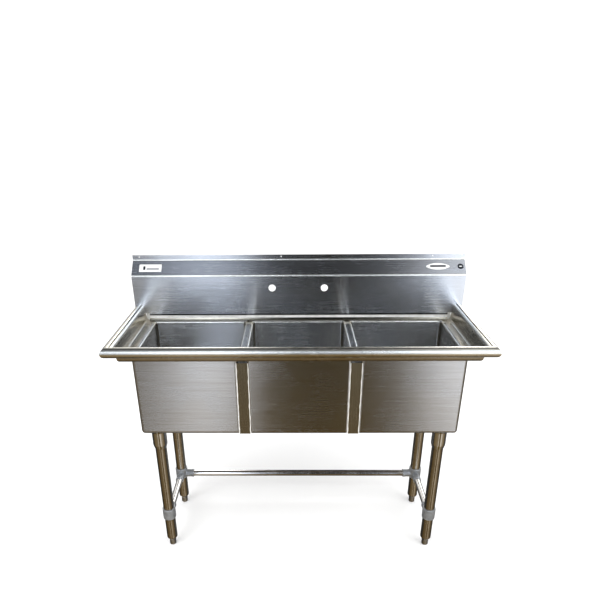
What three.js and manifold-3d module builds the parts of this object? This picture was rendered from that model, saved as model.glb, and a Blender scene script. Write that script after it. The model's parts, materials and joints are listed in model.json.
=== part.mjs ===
// Three compartment sink: three square bowls hung from one rolled-rim top with a backsplash,
// on four tube legs with adjustable bullet feet, joined low down by two side rails and a rear
// rail. Every bowl has a basket strainer. Millimetres, +Z up. The floor is z = 0, X runs along
// the width, the wall is on the +Y side, and the origin is under the middle of the sink.

import * as THREE from "three";
import { mergeVertices } from "three/addons/utils/BufferGeometryUtils.js";
import Module from "manifold-3d";

const wasm = await Module();
wasm.setup();

// ---- Driving dimensions ----------------------------------------------------------------

const WIDTH = 1292;
const DEPTH = 488;
const HEIGHT = 1108;
const SHEET = 1.5;
const GAP = 0.3;

const DECK_Z = 858;
const RIM_TOP_Z = 922;
const ROLL_RADIUS = 18;
const ROLL_END_DEG = 300;
const COVE_RADIUS = 12.2;
const RIM_WALL_INSET = 41;

const BOWL_PITCH = 387;
const BOWL_CENTRE_Y = -3.5;
const BOWL_HALF = 177.5;
const BOWL_CORNER = 10;
const BOWL_LIP_HALF = 187;
const BOWL_EDGE_RADIUS = 7;
const BOWL_FLOOR_Z = 561.5;
const BOWL_FLOOR_RADIUS = 14;
const BOWL_STEPS = 3;

const SPLASH_FACE_Y = 194;
const CREASE_Z = 1039;
const FLANGE_HEIGHT = 20;
const FAUCET_SPACING = 203.2;
const FAUCET_HOLE_Z = 988.5;
const FAUCET_HOLE_RADIUS = 14.3;
const WALL_SCREW_X = [-620, -66, 521];
const WALL_SCREW_RADIUS = 2.6;

const LEG_X = 517.7;
const LEG_FRONT_Y = -134.2;
const LEG_REAR_Y = 127.2;
const LEG_RADIUS = 20.65;
const LEG_WALL = 1.5;
const LEG_BOTTOM_Z = 36;
const LEG_TOP_Z = 545;
const LEG_STEPS = 20;
const FIT = 0.35;

const SOCKET_RADIUS = 26;
const SOCKET_BOTTOM_Z = 476;
const SOCKET_TAPER = 15;
const SOCKET_TOP_Z = 557.4;
const SOCKET_FLANGE_RADIUS = 32;

const RAIL_Z = 155;
const RAIL_RADIUS = 12.7;
const RAIL_WALL = 1.2;
const CLAMP_RADIUS = 25;
const CLAMP_BOTTOM_Z = 138;
const CLAMP_TOP_Z = 186;
const CLAMP_ARM_RADIUS = 16.5;
const CLAMP_ARM_REACH = 55;
const RAIL_START = 30;
const RAIL_STEPS = 16;

const SCREW_RADIUS = 4;
const SCREW_KEY_RADIUS = 2.3;
const SCREW_STEPS = 10;
const SOCKET_SCREW_Z = 512;
const CLAMP_SCREW_Z = 179.5;

const INSERT_BOTTOM_Z = 41;
const INSERT_TOP_Z = 69;
const STUD_RADIUS = 7.9;
const STUD_BOTTOM_Z = 8;
const STUD_TOP_Z = 92;
const FOOT_RADIUS = 12.7;
const FOOT_HEX_RADIUS = 14;
const FOOT_HEX_Z = 22;
const FOOT_TOP_Z = 33;
const FOOT_STEPS = 16;

const DRAIN_RECESS_RADIUS = 57;
const DRAIN_HOLE_RADIUS = 45;
const DRAIN_RIM_Z = BOWL_FLOOR_Z - 7;
const DRAIN_SEAT_Z = DRAIN_RIM_Z - 3;
const DRAIN_STEPS = 16;
const STRAINER_RADIUS = 43.5;
const STRAINER_BOTTOM_Z = 482;
const STRAINER_FLANGE_RADIUS = 55.3;
const STRAINER_FLOOR_Z = 518;
const STRAINER_WALL = 2.5;
const OUTLET_RADIUS = 21;
const GASKET_THICKNESS = 3;
const LOCKNUT_RADIUS = 53;
const LOCKNUT_THICKNESS = 10;
const LOCKNUT_LUGS = 8;
const LOCKNUT_LUG_HEIGHT = 4;

// ---- Finishes --------------------------------------------------------------------------

const FINISHES = {
  stainless: { color: 0xb8babd, roughness: 0.34, metalness: 0.95 },
  casting: { color: 0xa5a7a9, roughness: 0.62, metalness: 0.8 },
  zinc: { color: 0x8f9296, roughness: 0.45, metalness: 0.9 },
  rubber: { color: 0x1d1d1e, roughness: 0.9, metalness: 0 },
};

const part = new THREE.Group();
part.name = "three_compartment_sink";

function add(name, geometry, finish) {
  const mesh = new THREE.Mesh(geometry, new THREE.MeshStandardMaterial(FINISHES[finish]));
  mesh.name = name;
  part.add(mesh);
}

// ---- Solid helpers ---------------------------------------------------------------------

function solid(geometry) {
  const bare = geometry.clone();
  bare.deleteAttribute("normal");
  bare.deleteAttribute("uv");
  const merged = mergeVertices(bare, 1e-4);
  const mesh = new wasm.Mesh({
    numProp: 3,
    vertProperties: merged.attributes.position.array,
    triVerts: new Uint32Array(merged.index.array),
  });
  return new wasm.Manifold(mesh);
}

function geometryOf(shape) {
  const mesh = shape.getMesh();
  const geometry = new THREE.BufferGeometry();
  geometry.setAttribute("position", new THREE.BufferAttribute(mesh.vertProperties, 3));
  geometry.setIndex(new THREE.BufferAttribute(mesh.triVerts, 1));
  return geometry;
}

function join(...geometries) {
  return geometryOf(geometries.map(solid).reduce((a, b) => a.add(b)));
}

function cut(geometry, ...tools) {
  return geometryOf(tools.map(solid).reduce((a, b) => a.subtract(b), solid(geometry)));
}

function keep(geometry, region) {
  return geometryOf(solid(geometry).intersect(solid(region)));
}

function mirroredX(geometry) {
  const copy = geometry.clone().scale(-1, 1, 1);
  const index = copy.index.array;
  for (let i = 0; i < index.length; i += 3) {
    [index[i + 1], index[i + 2]] = [index[i + 2], index[i + 1]];
  }
  return copy;
}

function arc(cx, cy, radius, from, to, steps) {
  return Array.from({ length: steps + 1 }, (_, i) => {
    const angle = THREE.MathUtils.degToRad(from + ((to - from) * i) / steps);
    return [cx + radius * Math.cos(angle), cy + radius * Math.sin(angle)];
  });
}

function shapeOf(points) {
  return new THREE.Shape(points.map(([x, y]) => new THREE.Vector2(x, y)));
}

function extruded(shape, depth) {
  return new THREE.ExtrudeGeometry(shape, { depth, bevelEnabled: false, curveSegments: 12 });
}

// The outline is in (y, z) and runs from x0 to x1.
function alongX(points, x0, x1) {
  const turn = new THREE.Matrix4().set(0, 0, 1, x0, 1, 0, 0, 0, 0, 1, 0, 0, 0, 0, 0, 1);
  return extruded(shapeOf(points), x1 - x0).applyMatrix4(turn);
}

// The outline is in (x, z) and runs from y0 to y1.
function alongY(points, y0, y1) {
  const turn = new THREE.Matrix4().set(1, 0, 0, 0, 0, 0, -1, y1, 0, 1, 0, 0, 0, 0, 0, 1);
  return extruded(shapeOf(points), y1 - y0).applyMatrix4(turn);
}

// The outline is in (x, y) and runs from z0 to z1.
function alongZ(points, z0, z1) {
  return extruded(shapeOf(points), z1 - z0).translate(0, 0, z0);
}

// A bent sheet: the path is the face that shows, and the metal lies to its left.
function sheetOutline(path, thickness) {
  const normals = path.slice(1).map(([x, y], i) => {
    const [px, py] = path[i];
    const length = Math.hypot(x - px, y - py);
    return [-(y - py) / length, (x - px) / length];
  });
  const back = path.map(([x, y], i) => {
    const [ax, ay] = normals[Math.max(i - 1, 0)];
    const [bx, by] = normals[Math.min(i, normals.length - 1)];
    const reach = thickness / (1 + ax * bx + ay * by);
    return [x + (ax + bx) * reach, y + (ay + by) * reach];
  });
  return [...path, ...back.reverse()];
}

// A turned solid about Z: (radius, z) pairs, counter-clockwise with the radius to the right.
function turned(profile, steps) {
  const closed = profile[0][0] > 0 ? [...profile, profile[0]] : profile;
  const points = closed.map(([r, z]) => new THREE.Vector2(r, z));
  return new THREE.LatheGeometry(points, steps).rotateX(Math.PI / 2);
}

function rod(radius, z0, z1, steps) {
  return turned([[0, z0], [radius, z0], [radius, z1], [0, z1]], steps);
}

function rodAlongX(radius, x0, x1, steps) {
  return rod(radius, x0, x1, steps).rotateY(Math.PI / 2);
}

function rodAlongY(radius, y0, y1, steps) {
  return rod(radius, -y1, -y0, steps).rotateX(Math.PI / 2);
}

function pipe(outer, inner, z0, z1, steps) {
  return turned([[outer, z0], [outer, z1], [inner, z1], [inner, z0]], steps);
}

// ---- Rolled rims -----------------------------------------------------------------------

// The rim section in (inset from the outer edge, z): deck, cove, leaning wall and roll.
function rimOutline(deckInset) {
  const coveEnd = RIM_WALL_INSET + COVE_RADIUS;
  const rollZ = RIM_TOP_Z - ROLL_RADIUS;
  const wallFoot = [RIM_WALL_INSET - ROLL_RADIUS, DECK_Z + COVE_RADIUS - rollZ];
  const tangent =
    THREE.MathUtils.radToDeg(
      Math.atan2(wallFoot[1], wallFoot[0]) + Math.acos(ROLL_RADIUS / Math.hypot(...wallFoot)),
    );
  const path = [
    ...arc(coveEnd, DECK_Z + COVE_RADIUS, COVE_RADIUS, 270, 180, 5),
    ...arc(ROLL_RADIUS, rollZ, ROLL_RADIUS, tangent, ROLL_END_DEG, 18),
  ];
  if (deckInset > coveEnd) path.unshift([deckInset, DECK_Z]);
  return sheetOutline(path, SHEET);
}

const FRONT_DECK_Y = -DEPTH / 2 + RIM_WALL_INSET + COVE_RADIUS;
const SIDE_DECK_INSET = WIDTH / 2 - BOWL_PITCH - BOWL_LIP_HALF - GAP;
const SIDE_COVE_X = WIDTH / 2 - RIM_WALL_INSET - COVE_RADIUS;
const SPLASH_DECK_Y = BOWL_CENTRE_Y + BOWL_LIP_HALF + GAP;
const MITRE_PLAY = 0.45;
const MITRE_REACH = 60;

function frontRim() {
  const outline = rimOutline(0).map(([inset, z]) => [inset - DEPTH / 2, z]);
  const reach = MITRE_REACH;
  const outer = WIDTH / 2 + reach - MITRE_PLAY;
  const inner = WIDTH / 2 - reach - MITRE_PLAY;
  const plan = [
    [-outer, -DEPTH / 2 - reach],
    [outer, -DEPTH / 2 - reach],
    [inner, -DEPTH / 2 + reach],
    [-inner, -DEPTH / 2 + reach],
  ];
  return keep(alongX(outline, -WIDTH / 2, WIDTH / 2), alongZ(plan, 0, HEIGHT));
}

function leftRim() {
  const outline = rimOutline(SIDE_DECK_INSET).map(([inset, z]) => [inset - WIDTH / 2, z]);
  const reach = MITRE_REACH;
  const splashEnd = SPLASH_FACE_Y - GAP;
  const plan = [
    [-WIDTH / 2 - reach, -DEPTH / 2 - reach],
    [-SIDE_COVE_X + GAP, FRONT_DECK_Y + GAP],
    [-SIDE_COVE_X + reach, FRONT_DECK_Y + GAP],
    [-SIDE_COVE_X + reach, SPLASH_DECK_Y - GAP],
    [-SIDE_COVE_X, SPLASH_DECK_Y - GAP],
    [-SIDE_COVE_X, splashEnd],
    [-WIDTH / 2 - reach, splashEnd],
  ];
  return keep(alongY(outline, -DEPTH / 2, splashEnd), alongZ(plan, 0, HEIGHT));
}

// ---- Backsplash ------------------------------------------------------------------------

// The face goes up from the floor of the cove or the foot of the sheet, over the sloped band.
function splashPath(foot) {
  const slopeTopZ = HEIGHT - FLANGE_HEIGHT;
  const flangeY = DEPTH / 2 - SHEET;
  return [
    ...foot,
    [SPLASH_FACE_Y, CREASE_Z],
    [flangeY, slopeTopZ],
    [flangeY, HEIGHT],
  ];
}

function backsplash() {
  const coveRadius = SPLASH_FACE_Y - SPLASH_DECK_Y;
  const coveFoot = arc(SPLASH_DECK_Y, DECK_Z + coveRadius, coveRadius, 270, 360, 5);
  const sheetFoot = [[SPLASH_FACE_Y, DECK_Z - SHEET]];
  const turnOver = (path) => sheetOutline([...path].reverse(), SHEET);
  const coved = alongX(turnOver(splashPath(coveFoot)), GAP - SIDE_COVE_X, SIDE_COVE_X - GAP);
  const face = alongX(turnOver(splashPath(sheetFoot)), -WIDTH / 2, WIDTH / 2);
  const trim = WIDTH / 2 - RIM_WALL_INSET;
  const rollBottomZ = RIM_TOP_Z - 2 * ROLL_RADIUS;
  const below = (x0, x1) =>
    alongX([[0, 0], [DEPTH, 0], [DEPTH, rollBottomZ], [0, rollBottomZ]], x0, x1);
  const capOutline = [
    [SPLASH_FACE_Y + SHEET / 2, rollBottomZ],
    [DEPTH / 2, rollBottomZ],
    [DEPTH / 2, HEIGHT - FLANGE_HEIGHT],
    [DEPTH / 2 - SHEET / 2, HEIGHT - FLANGE_HEIGHT],
    [SPLASH_FACE_Y + SHEET / 2, CREASE_Z],
  ];
  const caps = [
    alongX(capOutline, -WIDTH / 2, SHEET - WIDTH / 2),
    alongX(capOutline, WIDTH / 2 - SHEET, WIDTH / 2),
  ];
  const faucetHoles = [-1, 1].map((side) =>
    rodAlongY(FAUCET_HOLE_RADIUS, SPLASH_FACE_Y - 5, SPLASH_FACE_Y + 5, 24)
      .translate((side * FAUCET_SPACING) / 2, 0, FAUCET_HOLE_Z),
  );
  const screwHoles = WALL_SCREW_X.map((x) =>
    rodAlongY(WALL_SCREW_RADIUS, DEPTH / 2 - 10, DEPTH / 2 + 10, 10)
      .translate(x, 0, HEIGHT - FLANGE_HEIGHT / 3),
  );
  return cut(
    join(coved, cut(face, below(-WIDTH, -trim), below(trim, WIDTH)), ...caps),
    ...faucetHoles,
    ...screwHoles,
  );
}

// ---- Bowls -----------------------------------------------------------------------------

function squareRing(half, corner, z) {
  const middle = half - corner;
  const quarters = [[1, 1], [-1, 1], [-1, -1], [1, -1]].map(([sx, sy], i) =>
    arc(sx * middle, sy * middle, corner, i * 90, i * 90 + 90, BOWL_STEPS),
  );
  return quarters.flat().map(([x, y]) => [x, y, z]);
}

function roundRing(radius, z) {
  const count = 4 * (BOWL_STEPS + 1);
  const half = 180 / count;
  return arc(0, 0, radius, half, 360 - half, count - 1).map(([x, y]) => [x, y, z]);
}

// A closed skin through rings of equal point counts; the last ring joins the first.
function ringShell(rings) {
  const n = rings[0].length;
  const index = [];
  rings.forEach((_, i) => {
    const a = i * n;
    const b = ((i + 1) % rings.length) * n;
    for (let j = 0; j < n; j++) {
      const k = (j + 1) % n;
      index.push(a + j, b + k, b + j);
      index.push(a + j, a + k, b + k);
    }
  });
  const geometry = new THREE.BufferGeometry();
  geometry.setAttribute("position", new THREE.Float32BufferAttribute(rings.flat(2), 3));
  geometry.setIndex(index);
  return geometry;
}

// Rings down one face of the bowl wall; `out` is how far that face lies outside the inner face.
function bowlFace(out) {
  const edgeHalf = BOWL_HALF + BOWL_EDGE_RADIUS;
  const edge = arc(edgeHalf, DECK_Z - BOWL_EDGE_RADIUS, BOWL_EDGE_RADIUS - out, 90, 180, 3);
  const bendRadius = BOWL_FLOOR_RADIUS + out;
  const bendHalf = BOWL_HALF - BOWL_FLOOR_RADIUS;
  const bend = arc(bendHalf, BOWL_FLOOR_Z + BOWL_FLOOR_RADIUS, bendRadius, 0, -90, 3);
  const innerHalf = BOWL_HALF - BOWL_CORNER;
  return [
    squareRing(BOWL_LIP_HALF, 1, DECK_Z - out),
    ...edge.map(([half, z]) => squareRing(half, half - innerHalf, z)),
    ...bend.map(([half, z]) => squareRing(half, Math.max(half - innerHalf, 1), z)),
    squareRing(100, 30, BOWL_FLOOR_Z - 2 - out),
    roundRing(DRAIN_RECESS_RADIUS + 1, DRAIN_RIM_Z - out),
    roundRing(DRAIN_RECESS_RADIUS + (out ? 1 : 0), DRAIN_SEAT_Z - out),
    roundRing(DRAIN_HOLE_RADIUS, DRAIN_SEAT_Z - out),
  ];
}

function bowl() {
  return ringShell([...bowlFace(0), ...bowlFace(SHEET).reverse()]);
}

// ---- Strips between the bowls ----------------------------------------------------------

const CHANNEL_HALF = BOWL_PITCH / 2 - BOWL_LIP_HALF - GAP;

function dividerStrip() {
  const depth = 11;
  const bend = 2;
  const path = [
    [CHANNEL_HALF, DECK_Z - depth],
    ...arc(CHANNEL_HALF - bend, DECK_Z - bend, bend, 0, 90, 3),
    ...arc(bend - CHANNEL_HALF, DECK_Z - bend, bend, 90, 180, 3),
    [-CHANNEL_HALF, DECK_Z - depth],
  ];
  const front = BOWL_CENTRE_Y - BOWL_LIP_HALF;
  return alongY(sheetOutline(path, SHEET), front, -front + 2 * BOWL_CENTRE_Y);
}

// A flat strip welded across the rounded corners of two bowls, just behind their front faces.
function frontFiller() {
  const half = 18.5;
  const recess = 1;
  const face = BOWL_CENTRE_Y - BOWL_HALF - SHEET + recess;
  const section = [[-half, face], [half, face], [half, face + SHEET], [-half, face + SHEET]];
  return alongZ(section, BOWL_FLOOR_Z + 2, DECK_Z - 14);
}

// ---- Legs ------------------------------------------------------------------------------

// The socket is drilled for its grub screw on the side given by the sign.
function legSocket(screwSide) {
  const bore = LEG_RADIUS + FIT;
  const body = turned([
    [0, LEG_TOP_Z + 1],
    [bore, LEG_TOP_Z + 1],
    [bore, SOCKET_BOTTOM_Z],
    [bore + 1, SOCKET_BOTTOM_Z],
    [SOCKET_RADIUS, SOCKET_BOTTOM_Z + SOCKET_TAPER],
    [SOCKET_RADIUS, SOCKET_TOP_Z - 8],
    [SOCKET_FLANGE_RADIUS, SOCKET_TOP_Z - 3],
    [SOCKET_FLANGE_RADIUS, SOCKET_TOP_Z],
    [0, SOCKET_TOP_Z],
  ], LEG_STEPS);
  const drill = radialRod(SCREW_RADIUS + GAP, LEG_RADIUS - 5, SOCKET_RADIUS + 5, screwSide);
  return cut(body, drill.translate(0, 0, SOCKET_SCREW_Z));
}

// A rod that lies along Y between two distances from the leg's axis.
function radialRod(radius, from, to, side) {
  return side > 0
    ? rodAlongY(radius, from, to, SCREW_STEPS)
    : rodAlongY(radius, -to, -from, SCREW_STEPS);
}

// A cup-point grub screw with a hexagon socket in its outer end.
function grubScrew(tip, end, side) {
  const body = radialRod(SCREW_RADIUS, tip, end, side);
  const key = side > 0
    ? rodAlongY(SCREW_KEY_RADIUS, end - 4, end + 1, 6)
    : rodAlongY(SCREW_KEY_RADIUS, -end - 1, 4 - end, 6);
  return cut(body, key);
}

function legTube() {
  const inner = LEG_RADIUS - LEG_WALL;
  const lip = 3;
  return turned([
    [LEG_RADIUS - lip, LEG_BOTTOM_Z],
    [LEG_RADIUS - 1, LEG_BOTTOM_Z + 1.2],
    [LEG_RADIUS, LEG_BOTTOM_Z + 4],
    [LEG_RADIUS, LEG_TOP_Z],
    [inner, LEG_TOP_Z],
    [inner, LEG_BOTTOM_Z + 4],
    [LEG_RADIUS - lip, LEG_BOTTOM_Z + 1.5],
  ], LEG_STEPS);
}

// ---- Rails and their clamps ------------------------------------------------------------

// Arms leave the ring along the given directions, each a pair of signs in x and y.
function railClamp(arms) {
  const ring = rod(CLAMP_RADIUS, CLAMP_BOTTOM_Z, CLAMP_TOP_Z, LEG_STEPS);
  const armRods = arms.map((arm) => placedArm(CLAMP_ARM_RADIUS, 0, CLAMP_ARM_REACH, arm));
  const armBores = arms.map((arm) =>
    placedArm(RAIL_RADIUS + FIT, RAIL_START - 1, CLAMP_ARM_REACH + 1, arm));
  const legBore = rod(LEG_RADIUS + FIT, 0, HEIGHT, LEG_STEPS);
  const drill = radialRod(SCREW_RADIUS + GAP, LEG_RADIUS - 5, CLAMP_RADIUS + 5, 1);
  return cut(
    join(ring, ...armRods),
    legBore,
    drill.translate(0, 0, CLAMP_SCREW_Z),
    ...armBores,
  );
}

function placedArm(radius, from, to, [x, y]) {
  const span = (sign) => [Math.min(sign * from, sign * to), Math.max(sign * from, sign * to)];
  const lying = x
    ? rodAlongX(radius, ...span(x), RAIL_STEPS)
    : rodAlongY(radius, ...span(y), RAIL_STEPS);
  return lying.translate(0, 0, RAIL_Z);
}

function rail(length) {
  return pipe(RAIL_RADIUS, RAIL_RADIUS - RAIL_WALL, -length / 2, length / 2, RAIL_STEPS);
}

// ---- Adjustable feet -------------------------------------------------------------------

function legInsert() {
  const outer = LEG_RADIUS - LEG_WALL - GAP;
  return pipe(outer, STUD_RADIUS + FIT, INSERT_BOTTOM_Z, INSERT_TOP_Z, LEG_STEPS);
}

function footStud() {
  const chamfer = 1.5;
  return turned([
    [0, STUD_BOTTOM_Z],
    [STUD_RADIUS, STUD_BOTTOM_Z],
    [STUD_RADIUS, STUD_TOP_Z - chamfer],
    [STUD_RADIUS - chamfer, STUD_TOP_Z],
    [0, STUD_TOP_Z],
  ], FOOT_STEPS);
}

// A short round foot with a hexagon for the wrench, bored for its stud.
function bulletFoot() {
  const bore = STUD_RADIUS + FIT;
  const body = turned([
    [0, 0],
    [9.6, 0],
    [11.8, 0.9],
    [FOOT_RADIUS, 3],
    [FOOT_RADIUS, FOOT_HEX_Z + 2],
    [0, FOOT_HEX_Z + 2],
  ], FOOT_STEPS);
  const hexagon = rod(FOOT_HEX_RADIUS, FOOT_HEX_Z, FOOT_TOP_Z, 6);
  return cut(join(body, hexagon), rod(bore, STUD_BOTTOM_Z - GAP, HEIGHT, FOOT_STEPS));
}

// ---- Drains ----------------------------------------------------------------------------

function strainerBody() {
  const inner = STRAINER_RADIUS - STRAINER_WALL;
  const bore = OUTLET_RADIUS - STRAINER_WALL;
  return turned([
    [bore, STRAINER_BOTTOM_Z],
    [OUTLET_RADIUS, STRAINER_BOTTOM_Z],
    [OUTLET_RADIUS, STRAINER_FLOOR_Z - 6],
    [STRAINER_RADIUS, STRAINER_FLOOR_Z + 6],
    [STRAINER_RADIUS, DRAIN_SEAT_Z + GAP],
    [STRAINER_FLANGE_RADIUS, DRAIN_SEAT_Z + GAP],
    [STRAINER_FLANGE_RADIUS, DRAIN_SEAT_Z + 2],
    [inner + 3, DRAIN_SEAT_Z + 2.4],
    [inner, DRAIN_SEAT_Z - 2],
    [inner, STRAINER_FLOOR_Z + 7],
    [bore, STRAINER_FLOOR_Z - 3],
  ], DRAIN_STEPS);
}

function drainGasket() {
  const top = DRAIN_SEAT_Z - SHEET - GAP;
  const outer = STRAINER_FLANGE_RADIUS;
  return pipe(outer, STRAINER_RADIUS + FIT, top - GASKET_THICKNESS, top, DRAIN_STEPS);
}

function locknut() {
  const top = DRAIN_SEAT_Z - SHEET - GASKET_THICKNESS - 2 * GAP;
  const rim = Array.from({ length: LOCKNUT_LUGS }, (_, i) => {
    const middle = (i * 360) / LOCKNUT_LUGS;
    return [
      ...arc(0, 0, LOCKNUT_RADIUS + LOCKNUT_LUG_HEIGHT, middle - 9, middle + 9, 1),
      ...arc(0, 0, LOCKNUT_RADIUS, middle + 13, middle + 32, 1),
    ];
  });
  const shape = shapeOf(rim.flat());
  const bore = arc(0, 0, STRAINER_RADIUS + FIT, 0, 360 - 360 / DRAIN_STEPS, DRAIN_STEPS - 1);
  shape.holes.push(new THREE.Path(bore.map(([x, y]) => new THREE.Vector2(x, y))));
  return extruded(shape, LOCKNUT_THICKNESS).translate(0, 0, top - LOCKNUT_THICKNESS);
}

// A perforated cup with a knob to lift it by.
function basket() {
  const floor = STRAINER_FLOOR_Z + 9;
  const perforations = 6;
  const cup = turned([
    [0, floor],
    [24, floor],
    [34, floor + 12],
    [39, floor + 14],
    [40.2, floor + 22],
    [39, floor + 22],
    [37.6, floor + 15],
    [32.6, floor + 13.2],
    [23, floor + 1.2],
    [4, floor + 1.2],
    [3, floor + 20],
    [8, floor + 24],
    [8, floor + 28],
    [0, floor + 30],
  ], DRAIN_STEPS);
  const holes = Array.from({ length: perforations }, (_, i) =>
    rod(3.5, floor - 5, floor + 5, 6)
      .translate(14, 0, 0)
      .rotateZ((i * 2 * Math.PI) / perforations));
  return cut(cup, ...holes);
}

// ---- Assembly --------------------------------------------------------------------------

const SIDES = [["left", -1], ["right", 1]];
const ENDS = [["front", LEG_FRONT_Y], ["rear", LEG_REAR_Y]];

add("backsplash", backsplash(), "stainless");
add("front_rim", frontRim(), "stainless");
add("left_rim", leftRim(), "stainless");
add("right_rim", mirroredX(leftRim()), "stainless");

for (const [side, step] of [["left", -1], ["centre", 0], ["right", 1]]) {
  const x = step * BOWL_PITCH;
  const place = (geometry) => geometry.translate(x, BOWL_CENTRE_Y, 0);
  add(`bowl_${side}`, place(bowl()), "stainless");
  add(`strainer_body_${side}`, place(strainerBody()), "stainless");
  add(`drain_gasket_${side}`, place(drainGasket()), "rubber");
  add(`locknut_${side}`, place(locknut()), "zinc");
  add(`basket_${side}`, place(basket()), "stainless");
}

for (const [side, sign] of SIDES) {
  const x = (sign * BOWL_PITCH) / 2;
  add(`divider_strip_${side}`, dividerStrip().translate(x, 0, 0), "stainless");
  add(`front_filler_${side}`, frontFiller().translate(x, 0, 0), "stainless");
  for (const [end, y] of ENDS) {
    const inward = -Math.sign(y);
    const place = (geometry) => geometry.translate(sign * LEG_X, y, 0);
    const arms = end === "front" ? [[0, 1]] : [[0, -1], [-sign, 0]];
    const socketScrew = grubScrew(LEG_RADIUS + GAP, SOCKET_RADIUS + 2, inward);
    const clampScrew = grubScrew(LEG_RADIUS + GAP, CLAMP_RADIUS + 3, 1);
    add(`leg_socket_${end}_${side}`, place(legSocket(inward)), "stainless");
    add(`socket_screw_${end}_${side}`, place(socketScrew).translate(0, 0, SOCKET_SCREW_Z), "zinc");
    add(`leg_tube_${end}_${side}`, place(legTube()), "stainless");
    add(`rail_clamp_${end}_${side}`, place(railClamp(arms)), "casting");
    add(`clamp_screw_${end}_${side}`, place(clampScrew).translate(0, 0, CLAMP_SCREW_Z), "zinc");
    add(`leg_insert_${end}_${side}`, place(legInsert()), "zinc");
    add(`foot_stud_${end}_${side}`, place(footStud()), "zinc");
    add(`bullet_foot_${end}_${side}`, place(bulletFoot()), "stainless");
  }
}

const sideLength = LEG_REAR_Y - LEG_FRONT_Y - 2 * RAIL_START;
const rearLength = 2 * (LEG_X - RAIL_START);
const sideMiddleY = (LEG_REAR_Y + LEG_FRONT_Y) / 2;
for (const [side, sign] of SIDES) {
  const lying = rail(sideLength).rotateX(Math.PI / 2);
  add(`side_rail_${side}`, lying.translate(sign * LEG_X, sideMiddleY, RAIL_Z), "stainless");
}
const rearRail = rail(rearLength).rotateY(Math.PI / 2);
add("rear_rail", rearRail.translate(0, LEG_REAR_Y, RAIL_Z), "stainless");

export default part;
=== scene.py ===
"""Visual model of a three compartment sink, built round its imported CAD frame."""
import json
import math

import bmesh
import bpy
from mathutils import Matrix, Vector

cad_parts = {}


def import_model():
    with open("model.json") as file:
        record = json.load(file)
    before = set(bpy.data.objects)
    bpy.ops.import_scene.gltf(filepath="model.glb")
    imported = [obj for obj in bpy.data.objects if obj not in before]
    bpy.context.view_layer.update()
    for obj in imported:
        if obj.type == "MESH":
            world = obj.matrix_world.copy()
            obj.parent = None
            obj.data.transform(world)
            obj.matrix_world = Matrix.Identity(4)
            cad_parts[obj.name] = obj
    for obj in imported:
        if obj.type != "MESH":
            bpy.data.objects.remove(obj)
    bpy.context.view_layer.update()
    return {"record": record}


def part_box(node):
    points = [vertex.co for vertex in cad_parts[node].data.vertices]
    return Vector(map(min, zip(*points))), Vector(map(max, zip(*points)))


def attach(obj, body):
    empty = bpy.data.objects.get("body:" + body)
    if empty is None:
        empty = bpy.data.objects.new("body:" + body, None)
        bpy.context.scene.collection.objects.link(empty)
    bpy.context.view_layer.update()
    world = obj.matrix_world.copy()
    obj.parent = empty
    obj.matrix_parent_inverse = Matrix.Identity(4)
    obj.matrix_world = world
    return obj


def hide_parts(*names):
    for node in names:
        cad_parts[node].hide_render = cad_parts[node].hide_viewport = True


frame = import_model()
record = frame["record"]
body_of_node = {
    node: body for body, members in record["behaviour"]["bodies"].items() for node in members
}

MM = 0.001

# ---- Sizes that a box can't give, in millimetres ----
SHEET = 1.5
ROLL_RADIUS = 18.0
ROLL_END_DEGREES = 300
COVE_RADIUS = 12.2
WALL_INSET = 41.0
BOWL_CORNER = 10.0
BOWL_EDGE = 7.0
BOWL_BEND = 14.0
BOWL_FLOOR = 561.5
DRAIN_SINK = 10.0
SPLASH_Y = 194.0
SPLASH_COVE = 10.2
SPLASH_COVE_HEIGHT = 25.0
CREASE_Z = 1039.0
FLANGE = 20.0
TAP_SPACING = 203.2
TAP_HOLE = 14.3
TAP_Z = 988.5
WALL_SCREWS = (-620.0, -66.0, 521.0)
WALL_SCREW_HOLE = 2.6
LEG_BORE = 21.0
GRUB_HOLE = 4.3


def box_mm(node):
    low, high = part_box(node)
    return low / MM, high / MM


def centre_of(node):
    low, high = box_mm(node)
    return (low + high) / 2


splash_low, splash_high = box_mm("backsplash")
rim_low, rim_high = box_mm("front_rim")
HALF_WIDTH = splash_high.x
FRONT_Y = rim_low.y
WALL_Y = splash_high.y
TOP_Z = splash_high.z
RIM_TOP = rim_high.z
DECK_Z = splash_low.z + SHEET


# ==== Material helpers ====

def new_material(name):
    """A material with its node tree, its shader and coordinates that stay with the piece."""
    material = bpy.data.materials.new(name)
    material.use_nodes = True
    tree = material.node_tree
    coords = tree.nodes.new("ShaderNodeTexCoord").outputs["Object"]
    return material, tree, tree.nodes["Principled BSDF"], coords


def plug(tree, value, socket):
    """Links a socket from another one, or sets it to a plain value."""
    if isinstance(value, bpy.types.NodeSocket):
        tree.links.new(value, socket)
    else:
        socket.default_value = value


def feed(tree, node, **inputs):
    """Plugs values into a node's inputs by name, with underscores for the spaces."""
    for key, value in inputs.items():
        plug(tree, value, node.inputs[key.replace("_", " ")])


def ramp(tree, factor, stops):
    node = tree.nodes.new("ShaderNodeValToRGB")
    while len(node.color_ramp.elements) > 1:
        node.color_ramp.elements.remove(node.color_ramp.elements[-1])
    for i, (place, colour) in enumerate(stops):
        element = node.color_ramp.elements[0] if i == 0 else node.color_ramp.elements.new(place)
        element.position = place
        element.color = (*colour, 1)
    tree.links.new(factor, node.inputs["Fac"])
    return node.outputs["Color"]


def math_node(tree, operation, a, b):
    node = tree.nodes.new("ShaderNodeMath")
    node.operation = operation
    plug(tree, a, node.inputs[0])
    plug(tree, b, node.inputs[1])
    return node.outputs[0]


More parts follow.
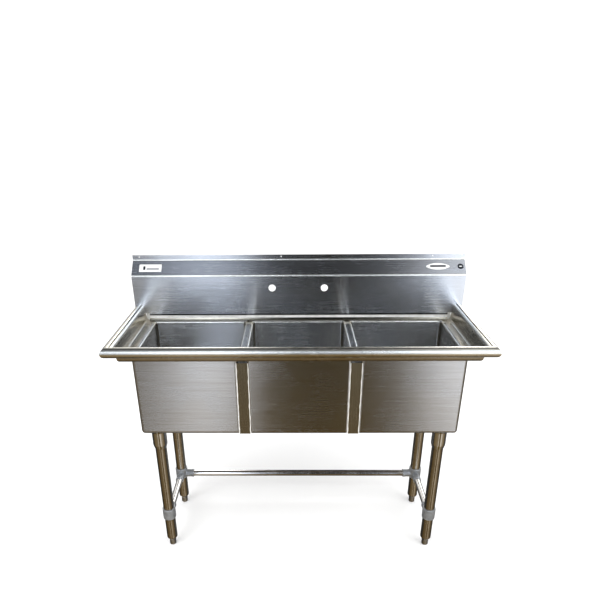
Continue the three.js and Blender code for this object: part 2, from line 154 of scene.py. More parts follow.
def map_range(tree, value, low, high, to_low, to_high):
    node = tree.nodes.new("ShaderNodeMapRange")
    feed(tree, node, Value=value, From_Min=low, From_Max=high, To_Min=to_low, To_Max=to_high)
    return node.outputs["Result"]


def colour_mix(tree, blend, factor, a, b):
    node = tree.nodes.new("ShaderNodeMix")
    node.data_type = "RGBA"
    node.blend_type = blend
    feed(tree, node, Factor=factor, A=a, B=b)
    return node.outputs["Result"]


def noise(tree, coords, scale, detail, rough, stretch=(1, 1, 1), offset=(0, 0, 0)):
    mapping = tree.nodes.new("ShaderNodeMapping")
    feed(tree, mapping, Vector=coords, Scale=stretch, Location=offset)
    node = tree.nodes.new("ShaderNodeTexNoise")
    feed(tree, node, Vector=mapping.outputs["Vector"], Scale=scale, Detail=detail, Roughness=rough)
    return node.outputs["Fac"]


def axis_tangent(tree, axis):
    node = tree.nodes.new("ShaderNodeCombineXYZ")
    node.inputs[axis].default_value = 1.0
    return node.outputs[0]


def bumped(tree, shader, height, strength, distance):
    node = tree.nodes.new("ShaderNodeBump")
    feed(tree, node, Height=height, Strength=strength, Distance=distance)
    feed(tree, shader, Normal=node.outputs["Normal"])


def shade_of(colour, factor):
    return tuple(min(c * factor, 1) for c in colour)


# ==== Materials ====

SMEAR_TINT = (0.62, 0.60, 0.56, 1)
RUBBED_METAL = (0.78, 0.78, 0.78, 1)
SCRATCH_DEPTH = 0.0000025


def brushed_steel(name, grain, tint=(0.74, 0.75, 0.77), rough=0.25, aniso=0.955, along=0.25, streak=1.0,
                  wave=0.35, seed=0.0):
    """Stainless brushed along one axis: streaks in colour and roughness, fine bump, faint smears.

    streak is how strong the streaks are, wave how uneven the sheet is, in millimetres, and along turns the
    gloss from lying along the grain (0) to lying across it (0.25).
    """
    material, tree, shader, coords = new_material(name)
    offset = (seed, seed * 1.7, seed * 0.6)

    def grain_lines(across, lengthways, detail, roughness):
        stretch = [across] * 3
        stretch[grain] = lengthways
        return noise(tree, coords, 1.0, detail, roughness, stretch, offset)

    fine_lines = grain_lines(1100.0, 9.0, 2.0, 0.6)
    long_lines = grain_lines(210.0, 2.6, 3.0, 0.65)
    lines = math_node(tree, "ADD", math_node(tree, "MULTIPLY", fine_lines, 0.55),
                      math_node(tree, "MULTIPLY", long_lines, 0.45))
    smears = noise(tree, coords, 7.0, 4.0, 0.6, offset=offset)
    colour = ramp(tree, lines, [(0.32, shade_of(tint, 1 - 0.09 * streak)), (0.52, tint),
                                (0.70, shade_of(tint, 1 + 0.07 * streak))])
    stained = colour_mix(tree, "MULTIPLY", map_range(tree, smears, 0.45, 0.75, 0.0, 0.10), colour, SMEAR_TINT)
    roughness = math_node(tree, "ADD", map_range(tree, lines, 0.3, 0.7, rough - 0.04, rough + 0.04),
                          map_range(tree, smears, 0.4, 0.7, -0.02, 0.03))
    feed(tree, shader, Base_Color=stained, Roughness=roughness, Metallic=1.0, Anisotropic=aniso,
         Anisotropic_Rotation=along, Tangent=axis_tangent(tree, grain))
    warp = noise(tree, coords, 3.2, 2.0, 0.5, offset=offset)
    height = math_node(tree, "ADD", math_node(tree, "MULTIPLY", lines, SCRATCH_DEPTH),
                       math_node(tree, "MULTIPLY", warp, wave * MM))
    bumped(tree, shader, height, 1.0, 1.0)
    return material


def polished_tube(name, axis, tint, rough, aniso, metal=1.0):
    """Tube stock polished round its girth: faint rings, handling marks, a gloss drawn out along the axis."""
    material, tree, shader, coords = new_material(name)
    stretch = [30.0, 30.0, 30.0]
    stretch[axis] = 420.0
    rings = noise(tree, coords, 1.0, 2.0, 0.6, stretch)
    marks = noise(tree, coords, 14.0, 5.0, 0.6)
    colour = ramp(tree, marks, [(0.30, shade_of(tint, 0.88)), (0.55, tint), (0.80, shade_of(tint, 1.08))])
    roughness = math_node(tree, "ADD", map_range(tree, rings, 0.3, 0.7, rough - 0.03, rough + 0.03),
                          map_range(tree, marks, 0.4, 0.75, 0.0, 0.05))
    feed(tree, shader, Base_Color=colour, Roughness=roughness, Metallic=metal, Anisotropic=aniso,
         Tangent=axis_tangent(tree, axis))
    bumped(tree, shader, rings, 0.12, 0.00001)
    return material


def cast_metal(name, tint):
    """Rough grey casting: sand grain, darker pits and brighter rubbed edges."""
    material, tree, shader, coords = new_material(name)
    grain = noise(tree, coords, 900.0, 3.0, 0.6)
    blotch = noise(tree, coords, 60.0, 4.0, 0.6)
    pointed = tree.nodes.new("ShaderNodeNewGeometry").outputs["Pointiness"]
    colour = ramp(tree, blotch, [(0.3, shade_of(tint, 0.78)), (0.7, shade_of(tint, 1.1))])
    rubbed = colour_mix(tree, "MIX", map_range(tree, pointed, 0.50, 0.56, 0.0, 0.6), colour, RUBBED_METAL)
    feed(tree, shader, Base_Color=rubbed, Metallic=0.75,
         Roughness=map_range(tree, grain, 0.3, 0.7, 0.48, 0.66))
    bumped(tree, shader, grain, 0.6, 0.0003)
    return material


def weld_and_painted_highlight(name, metal):
    """A seam ground back and polished by hand: short cross scratches, satin, and a pale colour lighter than
    the sheet that is a painted highlight.
    """
    material, tree, shader, coords = new_material(name)
    scratches = noise(tree, coords, 420.0, 4.0, 0.7)
    patches = noise(tree, coords, 45.0, 3.0, 0.6)
    colour = ramp(tree, patches, [(0.35, (0.80, 0.79, 0.76)), (0.65, (0.95, 0.94, 0.91))])
    feed(tree, shader, Base_Color=colour, Metallic=metal,
         Roughness=map_range(tree, scratches, 0.3, 0.7, 0.36, 0.52))
    bumped(tree, shader, scratches, 0.35, 0.0001)
    return material


def mottled(name, scale, detail, stops, rough, bump, metal=0.0):
    """A plain finish in which one fine noise sets the colour, the roughness and the bump."""
    material, tree, shader, coords = new_material(name)
    specks = noise(tree, coords, scale, detail, 0.6)
    feed(tree, shader, Base_Color=ramp(tree, specks, stops), Metallic=metal,
         Roughness=map_range(tree, specks, 0.3, 0.7, *rough))
    bumped(tree, shader, specks, bump, 0.0001)
    return material


def zinc_plate(name):
    spangle = ((0.3, (0.40, 0.41, 0.43)), (0.7, (0.62, 0.63, 0.64)))
    return mottled(name, 220.0, 3.0, spangle, (0.28, 0.42), 0.3, metal=1.0)


def black_rubber(name):
    dust = ((0.35, (0.012, 0.012, 0.013)), (0.75, (0.05, 0.05, 0.05)))
    return mottled(name, 180.0, 4.0, dust, (0.6, 0.85), 0.4)


def sticker(name, colour):
    """Printed film: even colour with faint soiling and a satin face."""
    return mottled(name, 90.0, 4.0, ((0.35, shade_of(colour, 0.92)), (0.7, colour)), (0.32, 0.5), 0.2)


X, Y, Z = 0, 1, 2
STEEL_X = brushed_steel("steel_grain_x", X, seed=1.3)
STEEL_Y = brushed_steel("steel_grain_y", Y, seed=4.1)
# Front fillers: a dark brown tint that is painted shade and painted reflection of the brown floor, in the
# recess between the bowls
FILLER_PAINTED_SHADE = brushed_steel("filler_painted_shade_z", Z, tint=(0.42, 0.39, 0.32), wave=0.1, seed=2.9)
FRONT_X = brushed_steel("bowl_front_x", X, tint=(0.70, 0.70, 0.71), seed=1.3)
# Bowl insides: front and rear walls get a raised tint, painted light; side walls a darker tint, painted shade
INSIDE_X_PAINTED_LIGHT = brushed_steel("bowl_inside_x_painted_light", X, tint=(0.96, 0.965, 0.97), seed=3.3)
INSIDE_Y_PAINTED_SHADE = brushed_steel("bowl_inside_y_painted_shade", Y, tint=(0.62, 0.59, 0.53), seed=5.6)
# Deck strip at the foot of the backsplash: a darkened tint, painted shade
DECK = brushed_steel("deck_painted_shade_x", X, tint=(0.50, 0.47, 0.39), seed=3.9)
# Divider strips between the bowls: a darkened tint, painted shade
STRIP_PAINTED_SHADE = brushed_steel("strip_painted_shade_y", Y, tint=(0.42, 0.41, 0.38), seed=8.2)
# Dark line at the top of the backsplash cove: painted shade where the splash meets the deck
COVE_SHADE_LINE = brushed_steel("cove_painted_shade_line", X, tint=(0.16, 0.16, 0.17), aniso=0.5, wave=0.1, seed=6.4)
# Polished steel for rolls, bends and bowl edges: the lower roughness is real polish, the raised and warmed
# tint is painted highlight
POLISHED_PAINTED_BRIGHT = {"tint": (0.93, 0.90, 0.82), "aniso": 0.5, "along": 0.0, "streak": 0.6, "wave": 0.1}
ROLL_X = brushed_steel("roll_grain_x", X, seed=7.7, **POLISHED_PAINTED_BRIGHT)
ROLL_Y = brushed_steel("roll_grain_y", Y, seed=9.2, **POLISHED_PAINTED_BRIGHT)
SATIN = {"tint": (0.62, 0.58, 0.50), "aniso": 0.6, "along": 0.0, "streak": 0.8, "wave": 0.1}
SATIN_X = brushed_steel("rim_wall_x", X, seed=2.2, **SATIN)
SATIN_Y = brushed_steel("rim_wall_y", Y, seed=6.9, **SATIN)
# Leg tubes: a warm brown tint that is painted reflection of the brown floor
TUBE_PAINTED_REFLECTION = polished_tube("tube_polish_painted_reflection", Z, (0.64, 0.60, 0.53), 0.18, 0.35)
SOCKET = polished_tube("socket_polish", Z, (0.88, 0.88, 0.88), 0.14, 0.3)
FOOT = polished_tube("foot_polish", Z, (0.62, 0.62, 0.62), 0.3, 0.0)
RAIL_ALONG = {axis: polished_tube(f"rail_polish_{axis}", i, (0.82, 0.80, 0.77), 0.14, 0.3, 0.97)
              for i, axis in enumerate("XY")}
# Pale satin band across the cove: a painted highlight standing for a bright line
COVE_PAINTED_HIGHLIGHT = weld_and_painted_highlight("cove_painted_highlight", 0.35)
# Weld beads beside the fillers: real welds, their pale colour partly painted highlight
BEAD = weld_and_painted_highlight("weld_bead_painted_highlight", 0.25)
CAST = cast_metal("clamp_casting", (0.52, 0.53, 0.54))
ZINC = zinc_plate("zinc_plate")
RUBBER = black_rubber("gasket_rubber")
LABEL_WHITE = sticker("label_white", (0.78, 0.79, 0.79))
LABEL_GREY = sticker("label_grey", (0.30, 0.31, 0.33))
LABEL_DARK = sticker("label_dark", (0.03, 0.035, 0.045))


# ==== Mesh helpers ====

def arc(cx, cy, radius, start, end, steps):
    turn = [math.radians(start + (end - start) * i / steps) for i in range(steps + 1)]
    return [(cx + radius * math.cos(a), cy + radius * math.sin(a)) for a in turn]


def rounded_box(x, y, half_w, half_h, corner, steps):
    """Outline of a rectangle with round corners, anticlockwise from its right side."""
    outline = []
    for i, (sx, sy) in enumerate(((1, 1), (-1, 1), (-1, -1), (1, -1))):
        centre = (x + sx * (half_w - corner), y + sy * (half_h - corner))
        outline += arc(*centre, corner, i * 90, i * 90 + 90, steps)
    return outline


def sheet_outline(path):
    """A closed outline of bent sheet: the path is the face that shows, the metal lies to its left."""
    normals = []
    for (ax, ay), (bx, by) in zip(path, path[1:]):
        length = math.hypot(bx - ax, by - ay)
        normals.append((-(by - ay) / length, (bx - ax) / length))
    back = []
    for i, (x, y) in enumerate(path):
        ax, ay = normals[max(i - 1, 0)]
        bx, by = normals[min(i, len(normals) - 1)]
        reach = SHEET / (1 + ax * bx + ay * by)
        back.append((x + (ax + bx) * reach, y + (ay + by) * reach))
    return list(path) + back[::-1]


def make_object(name, points, faces, material=None, sharp=32.0):
    """A smooth-shaded object from millimetre points, split where faces meet at over `sharp` degrees."""
    mesh = bpy.data.meshes.new(name)
    mesh.from_pydata([Vector(p) * MM for p in points], [], faces)
    work = bmesh.new()
    work.from_mesh(mesh)
    bmesh.ops.remove_doubles(work, verts=work.verts, dist=1e-7)
    bmesh.ops.recalc_face_normals(work, faces=work.faces)
    work.to_mesh(mesh)
    work.free()
    mesh.update()
    finish_mesh(mesh, sharp)
    if material:
        mesh.materials.append(material)
    piece = bpy.data.objects.new(name, mesh)
    bpy.context.scene.collection.objects.link(piece)
    return piece


def finish_mesh(mesh, sharp):
    mesh.shade_smooth()
    mesh.set_sharp_from_angle(angle=math.radians(sharp))


def bake(piece, sharp=32.0):
    """Applies the piece's modifiers to its mesh; without an angle its normals stay as they are."""
    graph = bpy.context.evaluated_depsgraph_get()
    old = piece.data
    piece.data = bpy.data.meshes.new_from_object(piece.evaluated_get(graph))
    piece.modifiers.clear()
    bpy.data.meshes.remove(old)
    if sharp is not None:
        finish_mesh(piece.data, sharp)
    return piece


def combine(piece, operation, tools, sharp=32.0):
    """Adds or cuts other objects with exact booleans and removes them."""
    for tool in tools:
        change = piece.modifiers.new("combine", "BOOLEAN")
        change.operation = operation
        change.object = tool
        change.solver = "EXACT"
    bake(piece, sharp)
    for tool in tools:
        bpy.data.objects.remove(tool)
    return piece


def stand_for(piece, node):
    """The piece rides on its node's body and hides it."""
    level_normals(piece)
    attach(piece, body_of_node[node])
    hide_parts(node)
    return piece


def level_normals(piece):
    """Weights the shading by face area, so a broad flat face stays flat between its rounded edges."""
    weight = piece.modifiers.new("level", "WEIGHTED_NORMAL")
    weight.keep_sharp = True
    weight.weight = 100
    return bake(piece, None)


def tube_faces(rows, columns):
    """Quads over rows of points, each row closed on itself."""
    faces = []
    for i in range(rows - 1):
        for j in range(columns):
            k = (j + 1) % columns
            faces.append((i * columns + j, i * columns + k, (i + 1) * columns + k, (i + 1) * columns + j))
    return faces


def swept(name, sections, material, sharp=32.0):
    """A closed body through rows of points, capped at both ends."""
    columns = len(sections[0])
    faces = tube_faces(len(sections), columns)
    faces.append(tuple(range(columns)))
    faces.append(tuple(range((len(sections) - 1) * columns, len(sections) * columns)))
    return make_object(name, [p for row in sections for p in row], faces, material, sharp)


def rounded(profile, radius, steps=4):
    """Rounds every inner corner of an open profile by about `radius`."""
    result = [profile[0]]
    for before, here, after in zip(profile, profile[1:], profile[2:]):
        a, p, b = Vector(before), Vector(here), Vector(after)
        first, second = a - p, b - p
        reach = min(radius, first.length * 0.45, second.length * 0.45)
        start, end = p + first.normalized() * reach, p + second.normalized() * reach
        for i in range(steps + 1):
            t = i / steps
            q = start * (1 - t) ** 2 + p * 2 * t * (1 - t) + end * t ** 2
            result.append((q.x, q.y))
    result.append(profile[-1])
    return result


def skin_rows(rows, steps):
    """Faces from each row of point numbers to the next; a row that repeats one point gives triangles."""
    faces = []
    for low, high in zip(rows, rows[1:]):
        for i in range(steps):
            k = (i + 1) % steps
            face = list(dict.fromkeys([low[i], low[k], high[k], high[i]]))
            if len(face) > 2:
                faces.append(face)
    return faces


def turned(name, profile, material, steps=64, axis="Z", centre=(0, 0, 0)):
    """A profile of (radius, distance along the axis) turned about it, closed on itself."""
    rows, points = [], []
    for radius, along in profile:
        if radius < 1e-6:
            rows.append([len(points)] * steps)
            points.append((0.0, 0.0, along))
        else:
            rows.append(list(range(len(points), len(points) + steps)))
            for i in range(steps):
                a = 2 * math.pi * i / steps
                points.append((radius * math.cos(a), radius * math.sin(a), along))
    spin = {
        "Z": lambda p: p,
        "X": lambda p: (p[2], p[0], p[1]),
        "Y": lambda p: (p[1], p[2], p[0]),
    }[axis]
    placed = [tuple(c + q for c, q in zip(centre, spin(p))) for p in points]
    return make_object(name, placed, skin_rows(rows + rows[:1], steps), material)


def turned_piece(node, profile, material, steps=64):
    """The detail for a node, turned about the upright line through the middle of its box."""
    x, y = centre_of(node).xy
    return turned(node + "_detail", profile, material, steps, centre=(x, y, 0))


def rod(radius, start, end, axis="Z", centre=(0, 0, 0), steps=48):
    return turned("tool", [(0, start), (radius, start), (radius, end), (0, end)], None, steps, axis, centre)


def joined(tools):
    """Merges separate tools that don't touch into one object."""
    points, faces = [], []
    for tool in tools:
        start = len(points)
        points += [v.co / MM for v in tool.data.vertices]
        faces += [[start + i for i in f.vertices] for f in tool.data.polygons]
        bpy.data.objects.remove(tool)
    return [make_object("tool", points, faces)]


# ==== Rolled rims ====

COVE_END = WALL_INSET + COVE_RADIUS


def rim_outline(deck_inset):
    """Closed section in (inset from the outer edge, z): deck, cove, leaning wall, roll."""
    roll_z = RIM_TOP - ROLL_RADIUS
    foot = (WALL_INSET - ROLL_RADIUS, DECK_Z + COVE_RADIUS - roll_z)
    tangent = math.degrees(math.atan2(foot[1], foot[0]) + math.acos(ROLL_RADIUS / math.hypot(*foot)))
    path = arc(COVE_END, DECK_Z + COVE_RADIUS, COVE_RADIUS, 270, 180, 12)
    path += arc(ROLL_RADIUS, roll_z, ROLL_RADIUS, tangent, ROLL_END_DEGREES, 64)
    if deck_inset > COVE_END:
        path.insert(0, (deck_inset, DECK_Z))
    return sheet_outline(path)


def satin_wall(piece, material, inset_of):
    """Only the roll is polished, its brightness partly a painted highlight from a raised tint; the wall, cove
    and deck below it keep a satin face.
    """
    piece.data.materials.append(material)
    roll_edge = 2 * ROLL_RADIUS - 3
    for face in piece.data.polygons:
        at = face.center / MM
        if inset_of(at) > roll_edge or at.z < RIM_TOP - 2 * ROLL_RADIUS:
            face.material_index = 1


def front_rim():
    outline = rim_outline(0)
    sections = [[(side * (HALF_WIDTH - inset), FRONT_Y + inset, z) for inset, z in outline]
                for side in (-1, 1)]
    piece = swept("front_rim_detail", sections, ROLL_X)
    satin_wall(piece, SATIN_X, lambda at: at.y - FRONT_Y)
    return stand_for(piece, "front_rim")


def side_rim(name, side):
    low, high = box_mm(name)
    outline = rim_outline(high.x - low.x)
    near = [(side * (HALF_WIDTH - inset), FRONT_Y + min(inset, COVE_END), z) for inset, z in outline]
    far = [(side * (HALF_WIDTH - inset), SPLASH_Y - (SPLASH_COVE if inset > COVE_END + 0.01 else 0), z)
           for inset, z in outline]
    piece = swept(name + "_detail", [near, far], ROLL_Y)
    satin_wall(piece, SATIN_Y, lambda at: HALF_WIDTH - abs(at.x))
    return stand_for(piece, name)


# ==== Backsplash ====

BEND_RADIUS = 4.5
TAP_CELL = 24.0
SCREW_CELL = 5.0
SCREW_Z = TOP_Z - FLANGE / 3


def holed_cell(points, faces, y, centre, half, radius, steps):
    """Fills a square of an upright sheet, `half` either side of its centre in (x, z), round a hole."""
    start = len(points)
    turns = [2 * math.pi * (i + 0.5) / steps for i in range(steps)]
    inner = [(centre[0] + radius * math.cos(a), centre[1] + radius * math.sin(a)) for a in turns]
    outer, side = [], []
    for a in turns:
        du, dv = math.cos(a), math.sin(a)
        reach_u, reach_v = half / abs(du), half / abs(dv)
        reach = min(reach_u, reach_v)
        outer.append((centre[0] + du * reach, centre[1] + dv * reach))
        side.append((1 if du > 0 else 3) if reach_u < reach_v else (2 if dv > 0 else 0))
    corners = [(centre[0] + su * half, centre[1] + sv * half)
               for su, sv in ((-1, -1), (1, -1), (1, 1), (-1, 1))]
    between = {(0, 3): 0, (0, 1): 1, (1, 2): 2, (2, 3): 3}
    points += [(u, y, v) for u, v in inner + outer + corners]
    for i in range(steps):
        k = (i + 1) % steps
        face = [start + k, start + i, start + steps + i]
        if side[i] != side[k]:
            face.append(start + 2 * steps + between[tuple(sorted((side[i], side[k])))])
        face.append(start + steps + k)
        faces.append(face)


def splash_bend(flange_y):
    """The two bends, from the upright face by the sloped band to the flange, in (y, z)."""
    corners = [(SPLASH_Y, CREASE_Z - 30), (SPLASH_Y, CREASE_Z), (flange_y, TOP_Z - FLANGE),
               (flange_y, TOP_Z - 12)]
    return rounded(corners, BEND_RADIUS, 6)[1:-1]


def splash_cove():
    """The curve up from the deck to the upright face, in (y, z), stretched upwards from a quarter round."""
    rise = SPLASH_COVE_HEIGHT / SPLASH_COVE
    return [(y, DECK_Z + (z - DECK_Z) * rise)
            for y, z in arc(SPLASH_Y - SPLASH_COVE, DECK_Z + SPLASH_COVE, SPLASH_COVE, 270, 360, 14)]


def splash_sheet():
    """Points and faces of the backsplash as one bent sheet with no thickness, and its two end panels."""
    wall_x = HALF_WIDTH - WALL_INSET
    inner_x = wall_x - COVE_RADIUS
    roll_bottom = RIM_TOP - 2 * ROLL_RADIUS
    flange_y = WALL_Y - SHEET
    cove, bend = splash_cove(), splash_bend(flange_y)
    points, faces = [], []

    def band(profile, x0, x1):
        start, count = len(points), len(profile)
        points.extend((x, y, z) for x in (x0, x1) for y, z in profile)
        faces.extend((start + i, start + i + 1, start + count + i + 1, start + count + i)
                     for i in range(count - 1))

    rows = [roll_bottom, TAP_Z - TAP_CELL, TAP_Z + TAP_CELL, bend[0][1]]
    flange_rows = [bend[-1][1], SCREW_Z - SCREW_CELL, SCREW_Z + SCREW_CELL, TOP_Z]
    taps = (-TAP_SPACING / 2, TAP_SPACING / 2)
    columns = sorted([s * x for s in (-1, 1) for x in (HALF_WIDTH, wall_x, inner_x)]
                     + [x + s * TAP_CELL for x in taps for s in (-1, 1)]
                     + [x + s * SCREW_CELL for x in WALL_SCREWS for s in (-1, 1)])
    for x0, x1 in zip(columns, columns[1:]):
        middle = (x0 + x1) / 2
        at_tap = any(abs(middle - x) < TAP_CELL for x in taps)
        at_screw = any(abs(middle - x) < SCREW_CELL for x in WALL_SCREWS)
        if abs(middle) < inner_x:
            band(cove + [(SPLASH_Y, roll_bottom)], x0, x1)
        elif abs(middle) < wall_x:
            band([(SPLASH_Y, DECK_Z - SHEET), (SPLASH_Y, roll_bottom)], x0, x1)
        for i in range(3):
            if i != 1 or not at_tap:
                band([(SPLASH_Y, rows[i]), (SPLASH_Y, rows[i + 1])], x0, x1)
        band(bend, x0, x1)
        for i in range(3):
            if i != 1 or not at_screw:
                band([(flange_y, flange_rows[i]), (flange_y, flange_rows[i + 1])], x0, x1)
    for x in taps:
        holed_cell(points, faces, SPLASH_Y, (x, TAP_Z), TAP_CELL, TAP_HOLE, 64)
    for x in WALL_SCREWS:
        holed_cell(points, faces, flange_y, (x, SCREW_Z), SCREW_CELL, WALL_SCREW_HOLE, 24)
    for side in (-1, 1):
        start = len(points)
        profile = [(SPLASH_Y, z) for z in rows[:3]] + bend
        profile += [(WALL_Y - 0.2, bend[-1][1]), (WALL_Y - 0.2, roll_bottom)]
        points.extend((side * HALF_WIDTH, y, z) for y, z in profile)
        faces.append(tuple(range(start, start + len(profile))))
    return points, faces


def backsplash():
    piece = make_object("backsplash_detail", *splash_sheet(), STEEL_X)
    face = max(piece.data.polygons, key=lambda f: f.area * abs(f.normal.y))
    if face.normal.y > 0:
        piece.data.flip_normals()
    sheet = piece.modifiers.new("sheet", "SOLIDIFY")
    sheet.thickness = SHEET * MM
    sheet.offset = -1
    sheet.use_even_offset = True
    bake(piece)
    finish_backsplash(piece)
    return stand_for(piece, "backsplash")


def finish_backsplash(piece):
    """Bends brightened by a raised tint as painted highlight, and up the cove in turn: the deck's brushed
    steel darkened as painted shade, a pale satin band of painted highlight and a dark line of painted shade.
    """
    for material in (ROLL_X, DECK, COVE_PAINTED_HIGHLIGHT, COVE_SHADE_LINE):
        piece.data.materials.append(material)
    whole_sheet = 0.004
    for face in piece.data.polygons:
        if face.area > whole_sheet or abs(face.normal.x) > 0.5:
            continue
        z = face.center.z / MM
        up_cove = (z - DECK_Z) / SPLASH_COVE_HEIGHT
        # Bends take the polished steel, its raised tint a painted highlight
        if any(abs(z - at) < 5 for at in (CREASE_Z, TOP_Z - FLANGE)):
            face.material_index = 1
        elif up_cove < 1:
            # Up the cove: darker deck steel as painted shade, a pale band as painted highlight, a dark line
            # as painted shade
            face.material_index = 2 + (up_cove >= 0.36) + (up_cove >= 0.74)


# ==== Bowls and the strips between them ====

RING_STEPS = 8
# Steels in pairs, brushed along X and along Y: outside, inside, and the edge and corners inside. The inside
# pair is painted light and shade: front and rear walls take a raised tint, side walls a darker one; the edge
# and corners take the polished steel whose raised tint is a painted highlight
BOWL_STEELS = (FRONT_X, STEEL_Y, INSIDE_X_PAINTED_LIGHT, INSIDE_Y_PAINTED_SHADE, ROLL_X, ROLL_Y)
OUTSIDE, INSIDE, EDGE = 0, 2, 4


def square_ring(half, corner, z):
    return [(x, y, z) for x, y in rounded_box(0, 0, half, half, corner, RING_STEPS)]


def round_ring(radius, z):
    count = 4 * (RING_STEPS + 1)
    half = 180 / count
    return [(x, y, z) for x, y in arc(0, 0, radius, half, 360 - half, count - 1)]


def bowl_face(lip, out):
    """Rings down one face of the bowl wall, `out` millimetres outside the inner face."""
    edge_half = lip - 2.5
    half = edge_half - BOWL_EDGE
    inner = half - BOWL_CORNER
    floor = BOWL_FLOOR - out
    rings = [square_ring(lip, 0.8, DECK_Z - out)]
    rings += [square_ring(h, h - inner, z)
              for h, z in arc(edge_half, DECK_Z - BOWL_EDGE, BOWL_EDGE - out, 90, 180, 8)]
    rings += [square_ring(h, max(h - inner, 2.5), z)
              for h, z in arc(half - BOWL_BEND, BOWL_FLOOR + BOWL_BEND, BOWL_BEND + out, 0, -90, 8)]
    rings += [square_ring(half - BOWL_BEND - 10, 4, floor - 0.3), square_ring(100, 30, floor - 2)]
    drain = ((64, 6.2), (58.5, 6.9), (57.2, 7.6), (57, 9.2), (56.2, 9.9), (55, DRAIN_SINK), (45, DRAIN_SINK))
    rings += [round_ring(r + (out if r > 56 else 0), floor - d) for r, d in drain]
    return rings


def bowl(name):
    low, high = box_mm(name)
    centre = (low + high) / 2
    lip = (high.x - low.x) / 2 + 0.15
    rings = bowl_face(lip, 0) + bowl_face(lip, SHEET)[::-1]
    rings.append(rings[0])
    points = [(x + centre.x, y + centre.y, z) for ring in rings for x, y, z in ring]
    piece = make_object(name + "_detail", points, tube_faces(len(rings), len(rings[0])))
    for material in BOWL_STEELS:
        piece.data.materials.append(material)
    for face in piece.data.polygons:
        normal, at = face.normal, face.center / MM - centre
        sideways = abs(at.x) > abs(at.y) if abs(normal.z) > 0.3 else abs(normal.x) > abs(normal.y)
        inside = normal.x * at.x + normal.y * at.y < 0 or normal.z > 0.3
        edge = at.z + centre.z > DECK_Z - BOWL_EDGE and normal.z < 0.97
        corner = min(abs(normal.x), abs(normal.y)) > 0.3
        # Inside faces take painted light on the front and rear walls and painted shade on the side walls
        face.material_index = sideways + (OUTSIDE if not inside else EDGE if edge or corner else INSIDE)
    return stand_for(piece, name)


def divider_strip(name):
    low, high = box_mm(name)
    x = (low.x + high.x) / 2
    half = (high.x - low.x) / 2 + 0.3
    bend = 1.5
    path = [(half, low.z)] + arc(half - bend, DECK_Z - bend, bend, 0, 90, 5)
    path += arc(bend - half, DECK_Z - bend, bend, 90, 180, 5) + [(-half, low.z)]
    sections = [[(x + u, y, z) for u, z in sheet_outline(path)] for y in (low.y - 0.3, high.y + 0.3)]
    # The strip's darker steel is painted shade
    return stand_for(swept(name + "_detail", sections, STRIP_PAINTED_SHADE), name)


def front_filler(name):
    """A flat strip, its long edges welded to the rounded corners of the bowls beside it."""
    low, high = box_mm(name)
    x = (low.x + high.x) / 2
    half = (high.x - low.x) / 2 + 0.2
    ease = 0.5
    path = [(-half, low.y + SHEET)] + arc(ease - half, low.y + ease, ease, 180, 270, 3)
    path += arc(half - ease, low.y + ease, ease, 270, 360, 3) + [(half, low.y + SHEET)]
    sections = [[(x + u, y, z) for u, y in path] for z in (low.z, high.z)]
    # The strip's dark brown steel is painted shade and painted reflection
    return stand_for(swept(name + "_detail", sections, FILLER_PAINTED_SHADE), name)


def seam_beads(side):
    """Two polished weld beads, slightly uneven by hand, where a filler meets the bowl corners; their pale
    colour is partly painted highlight.
    """
    low, high = box_mm(f"front_filler_{side}")
    middle = (low.x + high.x) / 2
    half = (high.x - low.x) / 2
    steps, around = 44, 12
    for edge, sign in (("outer", -1), ("inner", 1)):
        sections = []
        for i in range(steps + 1):
            z = low.z + 1 + (high.z - low.z - 2) * i / steps
            wander = 0.5 * math.sin(z * 0.071 + sign) + 0.35 * math.sin(z * 0.19 + 2 * sign)
            swell = 1 + 0.12 * math.sin(z * 0.137 + 3 * sign)
            x = middle + sign * (half + 1.6) + wander
            sections.append([(x + 2.6 * swell * math.cos(a), low.y + 1.0 + 1.5 * swell * math.sin(a), z)
                             for a in (2 * math.pi * k / around for k in range(around))])
        on_the_sink(swept(f"seam_{side}_{edge}", sections, BEAD, 60))


def on_the_sink(piece):
    """A small addition that stands for no node of its own."""
    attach(piece, "sink")


# ==== Legs ====

def leg_socket(node):
    low, high = box_mm(node)
    body, flange = 26.0, (high.x - low.x) / 2
    top_thickness = 12
    outside = rounded([(LEG_BORE, low.z), (LEG_BORE + 1.2, low.z), (body, low.z + 15), (body, high.z - 9),
                       (flange, high.z - 3), (flange, high.z), (0, high.z)], 3.0, 6)
    profile = [(0, high.z - top_thickness), (LEG_BORE, high.z - top_thickness)] + outside
    piece = turned_piece(node, profile, SOCKET)
    screw = centre_of(node.replace("leg_socket", "socket_screw"))
    tool = rod(GRUB_HOLE, -12, 12, "Y", tuple(screw), 24)
    return stand_for(combine(piece, "DIFFERENCE", [tool]), node)


def hexagon_reach(inscribed, turn):
    """Distance from the centre of a hexagon to its edge in a direction."""
    return inscribed * math.cos(math.pi / 6) / math.cos((turn % (math.pi / 3)) - math.pi / 6)


